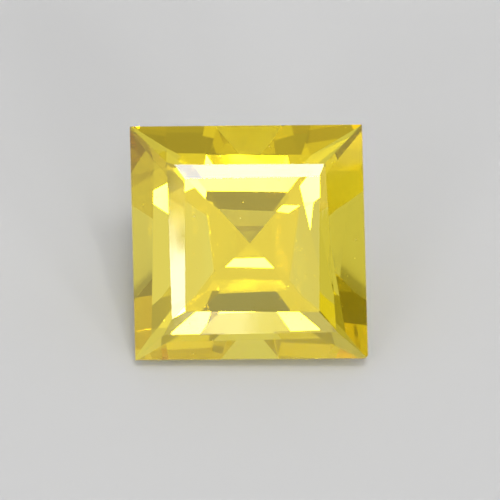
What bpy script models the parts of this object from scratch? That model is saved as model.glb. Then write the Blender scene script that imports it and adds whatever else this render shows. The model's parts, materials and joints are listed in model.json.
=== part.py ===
"""A square step-cut yellow sapphire, one polished crystal.

The stone is cut the way a lapidary cuts it: a square block of crystal is ground
away facet by facet, first the girdle wall, then the crown up to the table, then
three tiers of the pavilion down to the culet. Every side has its own angles, as
on a stone cut by hand. It then lies on one of its pavilion facets, as a loose
stone does, with its table turned up towards the light.

Stone axes while it is cut: +X is the stone's right side, +Y its far side and +Z
leaves the table squarely. The girdle's middle is at height zero. Azimuths turn
from +X towards +Y. A slope is measured from the girdle plane.
"""

import math
from typing import NamedTuple

import bmesh
import bpy
from mathutils import Matrix, Vector

MM = 0.001


class Side(NamedTuple):
    """One side of the cut, in degrees and in millimetres from the stone's axis."""

    girdle_azimuth: float
    girdle_reach: float
    crown_break_slope: float
    table_azimuth: float
    table_reach: float
    crown_step_slope: float
    pavilion_break_azimuth: float
    pavilion_break_slope: float
    pavilion_step_azimuth: float
    pavilion_step_slope: float
    culet_tier_azimuth: float
    culet_tier_slope: float
    culet_tier_reach: float


# Driving dimensions, in millimetres and degrees
TABLE_HEIGHT = 0.485
GIRDLE_THICKNESS = 0.25
CULET = (-0.025, 0.065, -2.96)

RIGHT = Side(
    girdle_azimuth=0.0,
    girdle_reach=2.46,
    crown_break_slope=22.7,
    table_azimuth=-1.6,
    table_reach=1.505,
    crown_step_slope=13.7,
    pavilion_break_azimuth=-1.2,
    pavilion_break_slope=52.7,
    pavilion_step_azimuth=-3.2,
    pavilion_step_slope=48.8,
    culet_tier_azimuth=-2.0,
    culet_tier_slope=38.0,
    culet_tier_reach=0.54,
)
FAR = Side(
    girdle_azimuth=88.9,
    girdle_reach=2.485,
    crown_break_slope=21.6,
    table_azimuth=89.5,
    table_reach=1.35,
    crown_step_slope=5.0,
    pavilion_break_azimuth=88.7,
    pavilion_break_slope=58.3,
    pavilion_step_azimuth=89.4,
    pavilion_step_slope=47.3,
    culet_tier_azimuth=91.1,
    culet_tier_slope=35.0,
    culet_tier_reach=0.69,
)
LEFT = Side(
    girdle_azimuth=179.9,
    girdle_reach=2.48,
    crown_break_slope=21.9,
    table_azimuth=178.7,
    table_reach=1.355,
    crown_step_slope=7.1,
    pavilion_break_azimuth=180.3,
    pavilion_break_slope=56.1,
    pavilion_step_azimuth=181.1,
    pavilion_step_slope=50.6,
    culet_tier_azimuth=179.1,
    culet_tier_slope=38.8,
    culet_tier_reach=0.8,
)
NEAR = Side(
    girdle_azimuth=268.9,
    girdle_reach=2.485,
    crown_break_slope=26.2,
    table_azimuth=268.2,
    table_reach=1.5,
    crown_step_slope=12.6,
    pavilion_break_azimuth=268.1,
    pavilion_break_slope=55.9,
    pavilion_step_azimuth=267.5,
    pavilion_step_slope=50.2,
    culet_tier_azimuth=266.7,
    culet_tier_slope=38.0,
    culet_tier_reach=1.035,
)
SIDES = (RIGHT, FAR, LEFT, NEAR)

# The girdle's near right corner is worn round: its radius, and the turns of its small flats
CORNER_WEAR = 0.09
CORNER_TURNS = (22.5, 45.0, 67.5)

# The block of crystal that the stone is cut from, in millimetres, and the finest length kept, in metres
ROUGH_BLOCK = 8.0
FINEST_EDGE = 1e-9

YELLOW = (0.80, 0.62, 0.09, 1.0)
SAPPHIRE_IOR = 1.77
POLISH = 0.02


def clear_scene():
    for obj in list(bpy.data.objects):
        bpy.data.objects.remove(obj, do_unlink=True)


def outward(azimuth):
    """The level direction straight out from the stone's axis at this azimuth."""
    turn = math.radians(azimuth)
    return Vector((math.cos(turn), math.sin(turn), 0.0))


def facet_normal(azimuth, slope, rise):
    """Outward normal of a facet: rise is 1 for the crown and -1 for the pavilion."""
    tilt = math.radians(slope)
    return outward(azimuth) * math.sin(tilt) + Vector((0.0, 0.0, rise * math.cos(tilt)))


def point_at(azimuth, reach, height):
    return outward(azimuth) * reach + Vector((0.0, 0.0, height))


def rough_block():
    stone = bmesh.new()
    bmesh.ops.create_cube(stone, size=ROUGH_BLOCK * MM)
    return stone


def grind(stone, point, normal):
    """Cuts one flat facet through a point in metres: all outside it goes, and the cut is closed."""
    everything = stone.verts[:] + stone.edges[:] + stone.faces[:]
    cut = bmesh.ops.bisect_plane(
        stone,
        geom=everything,
        dist=FINEST_EDGE,
        plane_co=point,
        plane_no=normal,
        clear_outer=True,
    )
    rim = [item for item in cut["geom_cut"] if isinstance(item, bmesh.types.BMEdge)]
    if rim:
        bmesh.ops.contextual_create(stone, geom=rim)


def cut_girdle(stone):
    for side in SIDES:
        wall = point_at(side.girdle_azimuth, side.girdle_reach, 0.0)
        grind(stone, wall * MM, outward(side.girdle_azimuth))


def wear_corner(stone):
    """Rounds the upright corner between the near and right girdle walls."""
    walls = Matrix((outward(NEAR.girdle_azimuth)[:2], outward(RIGHT.girdle_azimuth)[:2]))
    inset = Vector((NEAR.girdle_reach - CORNER_WEAR, RIGHT.girdle_reach - CORNER_WEAR))
    centre = (walls.inverted() @ inset).to_3d()
    for turn in CORNER_TURNS:
        azimuth = NEAR.girdle_azimuth + turn
        grind(stone, (centre + outward(azimuth) * CORNER_WEAR) * MM, outward(azimuth))


def cut_crown(stone):
    grind(stone, Vector((0.0, 0.0, TABLE_HEIGHT)) * MM, Vector((0.0, 0.0, 1.0)))
    for side in SIDES:
        girdle_rim = point_at(side.girdle_azimuth, side.girdle_reach, GIRDLE_THICKNESS / 2)
        grind(stone, girdle_rim * MM, facet_normal(side.girdle_azimuth, side.crown_break_slope, 1))
        table_edge = point_at(side.table_azimuth, side.table_reach, TABLE_HEIGHT)
        grind(stone, table_edge * MM, facet_normal(side.table_azimuth, side.crown_step_slope, 1))


def culet_tier_edge(side):
    """Where a side's culet tier ends and its pavilion step begins."""
    climb = side.culet_tier_reach * math.tan(math.radians(side.culet_tier_slope))
    return Vector(CULET) + point_at(side.culet_tier_azimuth, side.culet_tier_reach, climb)


def pavilion_step_normal(side):
    return facet_normal(side.pavilion_step_azimuth, side.pavilion_step_slope, -1)


def cut_pavilion(stone):
    for side in SIDES:
        girdle_rim = point_at(side.girdle_azimuth, side.girdle_reach, -GIRDLE_THICKNESS / 2)
        break_normal = facet_normal(side.pavilion_break_azimuth, side.pavilion_break_slope, -1)
        grind(stone, girdle_rim * MM, break_normal)
        grind(stone, culet_tier_edge(side) * MM, pavilion_step_normal(side))
        culet_normal = facet_normal(side.culet_tier_azimuth, side.culet_tier_slope, -1)
        grind(stone, Vector(CULET) * MM, culet_normal)


def lie_down(stone):
    """Turns the stone onto its near pavilion step, right side facing +X, flat at height zero."""
    up = -pavilion_step_normal(NEAR)
    right = outward(RIGHT.girdle_azimuth)
    right = (right - up * right.dot(up)).normalized()
    turn = Matrix((right, up.cross(right), up))
    bmesh.ops.rotate(stone, cent=(0.0, 0.0, 0.0), matrix=turn, verts=stone.verts)
    low = [min(vert.co[axis] for vert in stone.verts) for axis in range(3)]
    high = [max(vert.co[axis] for vert in stone.verts) for axis in range(3)]
    shift = Vector((-(low[0] + high[0]) / 2, -(low[1] + high[1]) / 2, -low[2]))
    bmesh.ops.translate(stone, vec=shift, verts=stone.verts)


def sapphire_material():
    material = bpy.data.materials.new("yellow_sapphire")
    material.use_nodes = True
    shader = material.node_tree.nodes["Principled BSDF"]
    shader.inputs["Base Color"].default_value = YELLOW
    shader.inputs["Roughness"].default_value = POLISH
    shader.inputs["Metallic"].default_value = 0.0
    shader.inputs["IOR"].default_value = SAPPHIRE_IOR
    shader.inputs["Transmission Weight"].default_value = 1.0
    return material


def main():
    clear_scene()
    stone = rough_block()
    cut_girdle(stone)
    wear_corner(stone)
    cut_crown(stone)
    cut_pavilion(stone)
    lie_down(stone)
    bmesh.ops.recalc_face_normals(stone, faces=stone.faces)
    mesh = bpy.data.meshes.new("sapphire")
    stone.to_mesh(mesh)
    stone.free()
    mesh.materials.append(sapphire_material())
    sapphire = bpy.data.objects.new("sapphire", mesh)
    bpy.context.scene.collection.objects.link(sapphire)


main()
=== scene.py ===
"""A loose square step-cut yellow sapphire on a plain pale floor, under soft studio light.

The stone's facets come from the frame. This script gives the crystal its colour,
its polish and the small marks on it, and sets the floor, the light and the camera.
"""

import json
import math
from typing import NamedTuple

import bpy
from mathutils import Matrix, Vector

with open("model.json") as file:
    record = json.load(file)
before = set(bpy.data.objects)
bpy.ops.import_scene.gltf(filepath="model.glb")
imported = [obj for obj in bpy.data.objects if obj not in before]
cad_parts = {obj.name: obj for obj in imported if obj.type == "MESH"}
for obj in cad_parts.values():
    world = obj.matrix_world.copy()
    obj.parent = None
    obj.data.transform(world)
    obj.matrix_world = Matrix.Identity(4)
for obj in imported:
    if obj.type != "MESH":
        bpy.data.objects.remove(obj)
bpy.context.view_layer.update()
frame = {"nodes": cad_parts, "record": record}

MM = 0.001

# How often light may turn inside the crystal
LIGHT_BOUNCES = 32

# The picture: its size, where the stone's axis meets the girdle in it, and how large it shows
PHOTO_SIDE = 500
PIXELS_PER_MM = 47.0
STONE_PIXEL = (249.3, 242.5)

# The view: how the table's axis leans away from the lens, and how the picture is turned
VIEW_LEAN_RIGHT = -1.5
VIEW_LEAN_UP = 3.1
VIEW_ROLL = 1.5
CAMERA_DISTANCE = 379.0 * MM
SENSOR_WIDTH = 36.0
CLOSEST_SEEN = 0.01
FARTHEST_SEEN = 10.0

# The table's middle from where its axis crosses the girdle plane: right, far and up, in millimetres
TABLE_MIDDLE = (0.079, -0.075, 0.485)

# The crystal: its refraction, how fast it takes red, green and blue light in a millimetre, and the
# density that the shader's colour is worked out for, per metre
SAPPHIRE_IOR = 1.77
RED_LOSS = 0.0
GREEN_LOSS = 0.03
BLUE_LOSS = 0.552
ABSORPTION_DENSITY = 700.0

# The polish: roughness on clean facets, in smudges, in pits and on the ground girdle
POLISHED = 0.012
SMUDGED = 0.03
PITTED = 0.4
GROUND = 0.3

# The marks of wear and growth, in metres and degrees: how long, how fine and how strong each is,
# and between which shares of its noise it fades in
RIPPLE_LENGTH = 0.0012
RIPPLE_DETAIL = 1.0
RIPPLE_LEAN = 0.1
SPECK_SPACING = 0.00035
SPECK_RADIUS = 0.000018
SMUDGE_LENGTH = 0.0016
SMUDGE_DETAIL = 3.0
SMUDGE_SWIRL = 0.6
SMUDGE_EDGES = (0.45, 0.7)
BAND_LENGTH = 0.0006
BAND_DETAIL = 2.0
BAND_EDGES = (0.35, 0.65)
BAND_DIRECTION = (0.6, -0.5, 0.6)
PALE_BAND = (1.0, 0.99, 0.98, 1.0)
DEEP_BAND = (1.0, 0.955, 0.86, 1.0)

# How far a wall may lean from the stone's axis and still be ground girdle, as a cosine
GIRDLE_WALL_LEAN = (0.05, 0.15)

# The floor: pale paper, its grain and relief in metres, its half width and how far it lies below the stone
PAPER_GREY = 0.52
PAPER_ROUGHNESS = 0.9
PAPER_GRAIN = 0.0011
PAPER_DETAIL = 4.0
PAPER_RELIEF = 0.0001
PAPER_RELIEF_SHARE = 0.05
FLOOR_HALF = 0.5
FLOOR_DROP = 0.00001


class Card(NamedTuple):
    """A softbox or a dark flag round the stone, as seen from it, in degrees.

    off_axis is how far its middle is from the lens, clock is the side that it is on,
    counted from the picture's right over its top, and turn is how far its width is
    turned from the line that leads away from the lens. A glow of 1 is paper white.
    """

    off_axis: float
    clock: float
    turn: float
    width: float
    height: float
    glow: float


ROOM_GLOW = 0.67

# Later cards stand in front of earlier ones
CARDS = (
    # The large panels and flags, which give the room its shades
    Card(40, 8, -13, 86, 82, 0.36),
    Card(13, 101, 26, 48, 88, 0.8),
    Card(85, 362, -20, 63, 52, 0.75),
    Card(82, 141, -37, 59, 38, 0.44),
    # Middling panels and flags, each seen in a whole facet or a whole tier
    Card(85, 75, 81, 25, 18, 0.1),
    Card(8, 320, 15, 26, 13.5, 0.85),
    Card(63.5, 93, 15, 30, 11.5, 0.24),
    Card(37, 322.5, -22, 12.5, 27, 1.85),
    Card(69, 27.5, -46, 10.5, 32, 0.44),
    Card(47.5, 334, -80, 30.5, 10, 0.75),
    Card(91, 88.5, -89, 20, 12, 0.85),
    Card(26, 50.5, -41, 13, 11, 0.08),
    # Narrow panels and flags, and the wide lamps beside them
    Card(44, 11.5, 6, 12, 3.5, 0.04),
    Card(13, 266, -1, 13.5, 3.5, 3.2),
    Card(13, 280, 78, 10, 20.5, 1.15),
    Card(27.5, 76, 53, 9, 13.5, 21),
    Card(40, 85.5, 77, 14.5, 6.5, 4.7),
    Card(42.5, 13, 2, 10, 4.5, 0.55),
    Card(6, 142, 36, 8, 4.5, 0.02),
    Card(27, 304.5, 75, 9.5, 6, 35),
    Card(30.5, 207.5, -12, 6, 8.5, 25),
    # Flags and faint panels in front of those lamps
    Card(28.5, 226.5, 25, 5, 22.5, 0.12),
    Card(50, 133, -8, 6.5, 11, 0.42),
    Card(45, 202.5, -67, 17, 2.5, 0.44),
    Card(68, 90.5, -15, 5.5, 6, 0.6),
    Card(15.5, 262, -11, 2.5, 10, 0.34),
    Card(25, 14, -30, 2, 0.5, 0),
    # The small bright lamps in front of everything, which make the white highlights
    Card(33, 332, 19, 6.5, 8, 30),
    Card(21, 172.5, -13, 5, 8.5, 8.5),
    Card(6.5, 57, 16, 11, 3.5, 30),
    Card(33.5, 241.5, -19, 5.5, 6.5, 30),
    Card(23, 59.5, 25, 13, 2, 30),
    Card(19, 89, 7, 7, 3, 25),
    Card(15, 102, 9, 5, 2, 9.5),
)


WHITE = (1.0, 1.0, 1.0, 1.0)
NOISE_MIDDLE = (0.5, 0.5, 0.5)

# Where a mix node keeps its sockets when it mixes colours
MIX_FACTOR = 0
MIX_FIRST_COLOUR = 6
MIX_SECOND_COLOUR = 7
MIX_COLOUR_RESULT = 2


class Value:
    """A number or a direction in a shader, which takes part in Python arithmetic."""

    def __init__(self, sheet, socket):
        self.sheet = sheet
        self.socket = socket

    def math(self, operation, *others):
        inputs = dict(enumerate((self, *others)))
        return self.sheet.node("ShaderNodeMath", {"operation": operation}, inputs)

    def __add__(self, other):
        return self.math("ADD", other)

    __radd__ = __add__

    def __mul__(self, other):
        return self.math("MULTIPLY", other)

    __rmul__ = __mul__

    def __sub__(self, other):
        return self.math("SUBTRACT", other)

    def __rsub__(self, other):
        return self.sheet.node("ShaderNodeMath", {"operation": "SUBTRACT"}, {0: other, 1: self})

    def __lt__(self, other):
        return self.math("LESS_THAN", other)

    def __abs__(self):
        return self.math("ABSOLUTE")

    def towards(self, end, share):
        """This value where share is 0, and end where it is 1."""
        return self + (end - self) * share

    def between(self, low, high):
        """0 below low, 1 above high and a smooth rise between them."""
        settings = {"interpolation_type": "SMOOTHSTEP"}
        inputs = {"Value": self, "From Min": low, "From Max": high}
        return self.sheet.node("ShaderNodeMapRange", settings, inputs)

    def along(self, direction):
        """The length of this direction's shadow on a fixed one."""
        settings = {"operation": "DOT_PRODUCT"}
        inputs = {0: self, 1: tuple(direction)}
        return self.sheet.node("ShaderNodeVectorMath", settings, inputs, "Value")


class Sheet:
    """A node tree, filled call by call."""

    def __init__(self, tree):
        self.tree = tree
        self.tree.nodes.clear()

    def set_input(self, socket, value):
        if isinstance(value, Value):
            self.tree.links.new(value.socket, socket)
        else:
            socket.default_value = value

    def node(self, kind, settings=None, inputs=None, output=0):
        """Adds a node: its settings first, then its sockets' values or links."""
        made = self.tree.nodes.new(kind)
        for name, value in (settings or {}).items():
            setattr(made, name, value)
        for key, value in (inputs or {}).items():
            self.set_input(made.inputs[key], value)
        return Value(self, made.outputs[output])

    def vector(self, operation, *parts):
        return self.node("ShaderNodeVectorMath", {"operation": operation}, dict(enumerate(parts)), "Vector")

    def mix_colours(self, factor, first, second):
        inputs = {MIX_FACTOR: factor, MIX_FIRST_COLOUR: first, MIX_SECOND_COLOUR: second}
        return self.node("ShaderNodeMix", {"data_type": "RGBA"}, inputs, MIX_COLOUR_RESULT)

    def finish(self, kind, **ends):
        output = self.tree.nodes.new(kind)
        for name, value in ends.items():
            self.set_input(output.inputs[name.capitalize()], value)


def new_material(name):
    material = bpy.data.materials.new(name)
    material.use_nodes = True
    return material, Sheet(material.node_tree)


def rippled_normal(sheet, where):
    """The facet's direction, a fraction of a degree off in slow waves, as hand polishing leaves it."""
    inputs = {"Vector": where, "Scale": 1 / RIPPLE_LENGTH, "Detail": RIPPLE_DETAIL}
    noise = sheet.node("ShaderNodeTexNoise", {}, inputs, "Color")
    centred = sheet.vector("SUBTRACT", noise, NOISE_MIDDLE)
    facet = sheet.node("ShaderNodeNewGeometry", {}, {}, "Normal")
    lean = math.radians(RIPPLE_LEAN)
    return sheet.vector("NORMALIZE", sheet.vector("MULTIPLY_ADD", centred, (lean, lean, lean), facet))


def specks(sheet, where):
    """1 on the small pits and dust grains scattered over the stone, 0 between them."""
    inputs = {"Vector": where, "Scale": 1 / SPECK_SPACING}
    distance = sheet.node("ShaderNodeTexVoronoi", {}, inputs, "Distance")
    edge = SPECK_RADIUS / SPECK_SPACING
    return 1 - distance.between(edge / 2, edge)


def smudges(sheet, where):
    """0 where the polish is clean, 1 in the middle of a faint smudge."""
    inputs = {
        "Vector": where,
        "Scale": 1 / SMUDGE_LENGTH,
        "Detail": SMUDGE_DETAIL,
        "Distortion": SMUDGE_SWIRL,
    }
    return sheet.node("ShaderNodeTexNoise", {}, inputs, "Fac").between(*SMUDGE_EDGES)


def girdle_wall(sheet, stone_axis):
    """1 on the ground girdle, whose wall runs along the stone's axis, 0 on the facets."""
    facet = sheet.node("ShaderNodeNewGeometry", {}, {}, "True Normal")
    return 1 - abs(facet.along(stone_axis)).between(*GIRDLE_WALL_LEAN)


def colour_bands(sheet, where):
    """Straight growth bands across the crystal, a little deeper and a little paler in turn."""
    along = where.along(Vector(BAND_DIRECTION).normalized()) * (1 / BAND_LENGTH)
    inputs = {"W": along, "Scale": 1.0, "Detail": BAND_DETAIL}
    bands = sheet.node("ShaderNodeTexNoise", {"noise_dimensions": "1D"}, inputs, "Fac").between(*BAND_EDGES)
    return sheet.mix_colours(bands, PALE_BAND, DEEP_BAND)


def sapphire_finish(stone_axis):
    """Clear yellow corundum: plain transmission, with the colour in the depth of the crystal."""
    material, sheet = new_material("sapphire_crystal")
    where = sheet.node("ShaderNodeTexCoord", {}, {}, "Object")
    dull = smudges(sheet, where) * (SMUDGED - POLISHED) + POLISHED
    pitted = dull.towards(PITTED, specks(sheet, where))
    roughness = pitted.towards(GROUND, girdle_wall(sheet, stone_axis))
    shader = sheet.node(
        "ShaderNodeBsdfPrincipled",
        {},
        {
            "Base Color": colour_bands(sheet, where),
            "Roughness": roughness,
            "IOR": SAPPHIRE_IOR,
            "Transmission Weight": 1.0,
            "Normal": rippled_normal(sheet, where),
        },
    )
    kept = [1 - loss / MM / ABSORPTION_DENSITY for loss in (RED_LOSS, GREEN_LOSS, BLUE_LOSS)]
    volume = sheet.node(
        "ShaderNodeVolumeAbsorption",
        {},
        {"Color": (*kept, 1.0), "Density": ABSORPTION_DENSITY},
    )
    sheet.finish("ShaderNodeOutputMaterial", surface=shader, volume=volume)
    return material


def floor_finish():
    material, sheet = new_material("pale_paper")
    where = sheet.node("ShaderNodeTexCoord", {}, {}, "Object")
    inputs = {"Vector": where, "Scale": 1 / PAPER_GRAIN, "Detail": PAPER_DETAIL}
    grain = sheet.node("ShaderNodeTexNoise", {}, inputs)
    relief = {"Height": grain, "Strength": PAPER_RELIEF_SHARE, "Distance": PAPER_RELIEF}
    bump = sheet.node("ShaderNodeBump", {}, relief)
    shader = sheet.node(
        "ShaderNodeBsdfPrincipled",
        {},
        {
            "Base Color": (PAPER_GREY, PAPER_GREY, PAPER_GREY, 1.0),
            "Roughness": PAPER_ROUGHNESS,
            "Normal": bump,
        },
    )
    sheet.finish("ShaderNodeOutputMaterial", surface=shader)
    return material


def mount_named(name):
    return next(mount for mount in frame["record"]["mounts"] if mount["name"] == name)


def mount_axis(name):
    return Vector(mount_named(name)["axis"]).normalized()


def stone_axes():
    """The cut's right, far and table directions, as columns in the row's frame."""
    table = mount_axis("table")
    right = mount_axis("girdle_right")
    right = (right - right.dot(table) * table).normalized()
    return Matrix((right, table.cross(right), table)).transposed()


def girdle_middle():
    """Where the table's axis crosses the girdle plane, which the lens looks at."""
    table_middle = Vector(mount_named("table")["pos_m"])
    return table_middle - stone_axes() @ (Vector(TABLE_MIDDLE) * MM)


def camera_axes():
    """Right, up and towards-the-lens directions of the picture, as columns in the row's frame."""
    roll = Matrix.Rotation(math.radians(-VIEW_ROLL), 3, "Z")
    lean_right = math.sin(math.radians(VIEW_LEAN_RIGHT))
    lean_up = math.sin(math.radians(VIEW_LEAN_UP))
    seen_table = Vector((lean_right, lean_up, math.sqrt(1 - lean_right**2 - lean_up**2)))
    seen_right = (Vector((1, 0, 0)) - seen_table.x * seen_table).normalized()
    seen = Matrix((seen_right, seen_table.cross(seen_right), seen_table))
    return stone_axes() @ roll @ seen


def photo_camera(axes):
    data = bpy.data.cameras.new("photo_camera")
    data.sensor_width = SENSOR_WIDTH
    data.lens = SENSOR_WIDTH * CAMERA_DISTANCE * PIXELS_PER_MM / (PHOTO_SIDE * MM)
    data.shift_x = 0.5 - STONE_PIXEL[0] / PHOTO_SIDE
    data.shift_y = STONE_PIXEL[1] / PHOTO_SIDE - 0.5
    data.clip_start = CLOSEST_SEEN
    data.clip_end = FARTHEST_SEEN
    camera = bpy.data.objects.new("photo_camera", data)
    place = girdle_middle() + CAMERA_DISTANCE * axes.col[2]
    camera.matrix_world = Matrix.Translation(place) @ axes.to_4x4()
    bpy.context.scene.collection.objects.link(camera)
    bpy.context.scene.camera = camera


def card_axes(card, axes):
    """A card's direction from the stone, and the directions of its width and height."""
    off = math.radians(card.off_axis)
    clock = math.radians(card.clock)
    turn = math.radians(card.turn)
    right, up, lens = axes.col
    sideways = math.cos(clock) * right + math.sin(clock) * up
    toward = math.sin(off) * sideways + math.cos(off) * lens
    outward = math.cos(off) * sideways - math.sin(off) * lens
    across = toward.cross(outward)
    width = math.cos(turn) * outward + math.sin(turn) * across
    height = math.cos(turn) * across - math.sin(turn) * outward
    return toward, width, height


def studio_world(axes):
    """A plain room with the cards hung in it. The camera itself sees only plain backdrop."""
    world = bpy.data.worlds.new("studio")
    world.use_nodes = True
    sheet = Sheet(world.node_tree)
    looking = sheet.node("ShaderNodeTexCoord", {}, {}, "Generated")
    glow = ROOM_GLOW
    for card in CARDS:
        toward, width, height = card_axes(card, axes)
        ahead = looking.along(toward)
        half_width = math.tan(math.radians(card.width / 2))
        half_height = math.tan(math.radians(card.height / 2))
        in_width = abs(looking.along(width)) < ahead * half_width
        in_height = abs(looking.along(height)) < ahead * half_height
        inside = in_width * in_height
        glow = inside * card.glow + (1 - inside) * glow
    seen_by_lens = sheet.node("ShaderNodeLightPath", {}, {}, "Is Camera Ray")
    glow = seen_by_lens * ROOM_GLOW + (1 - seen_by_lens) * glow
    backdrop = sheet.node("ShaderNodeBackground", {}, {"Color": WHITE, "Strength": glow})
    sheet.finish("ShaderNodeOutputWorld", surface=backdrop)
    bpy.context.scene.world = world


def studio_floor():
    half = FLOOR_HALF
    mesh = bpy.data.meshes.new("floor")
    corners = [(-half, -half, 0), (half, -half, 0), (half, half, 0), (-half, half, 0)]
    mesh.from_pydata(corners, [], [(0, 1, 2, 3)])
    mesh.materials.append(floor_finish())
    floor = bpy.data.objects.new("floor", mesh)
    floor.location.z = -FLOOR_DROP
    bpy.context.scene.collection.objects.link(floor)


def main():
    scene = bpy.context.scene
    scene.view_settings.view_transform = "Standard"
    scene.cycles.max_bounces = LIGHT_BOUNCES
    scene.cycles.glossy_bounces = LIGHT_BOUNCES
    scene.cycles.transmission_bounces = LIGHT_BOUNCES
    scene.cycles.sample_clamp_indirect = 0.0
    for node in frame["nodes"].values():
        node.data.materials.clear()
        node.data.materials.append(sapphire_finish(mount_axis("table")))
    axes = camera_axes()
    photo_camera(axes)
    studio_floor()
    studio_world(axes)


main()
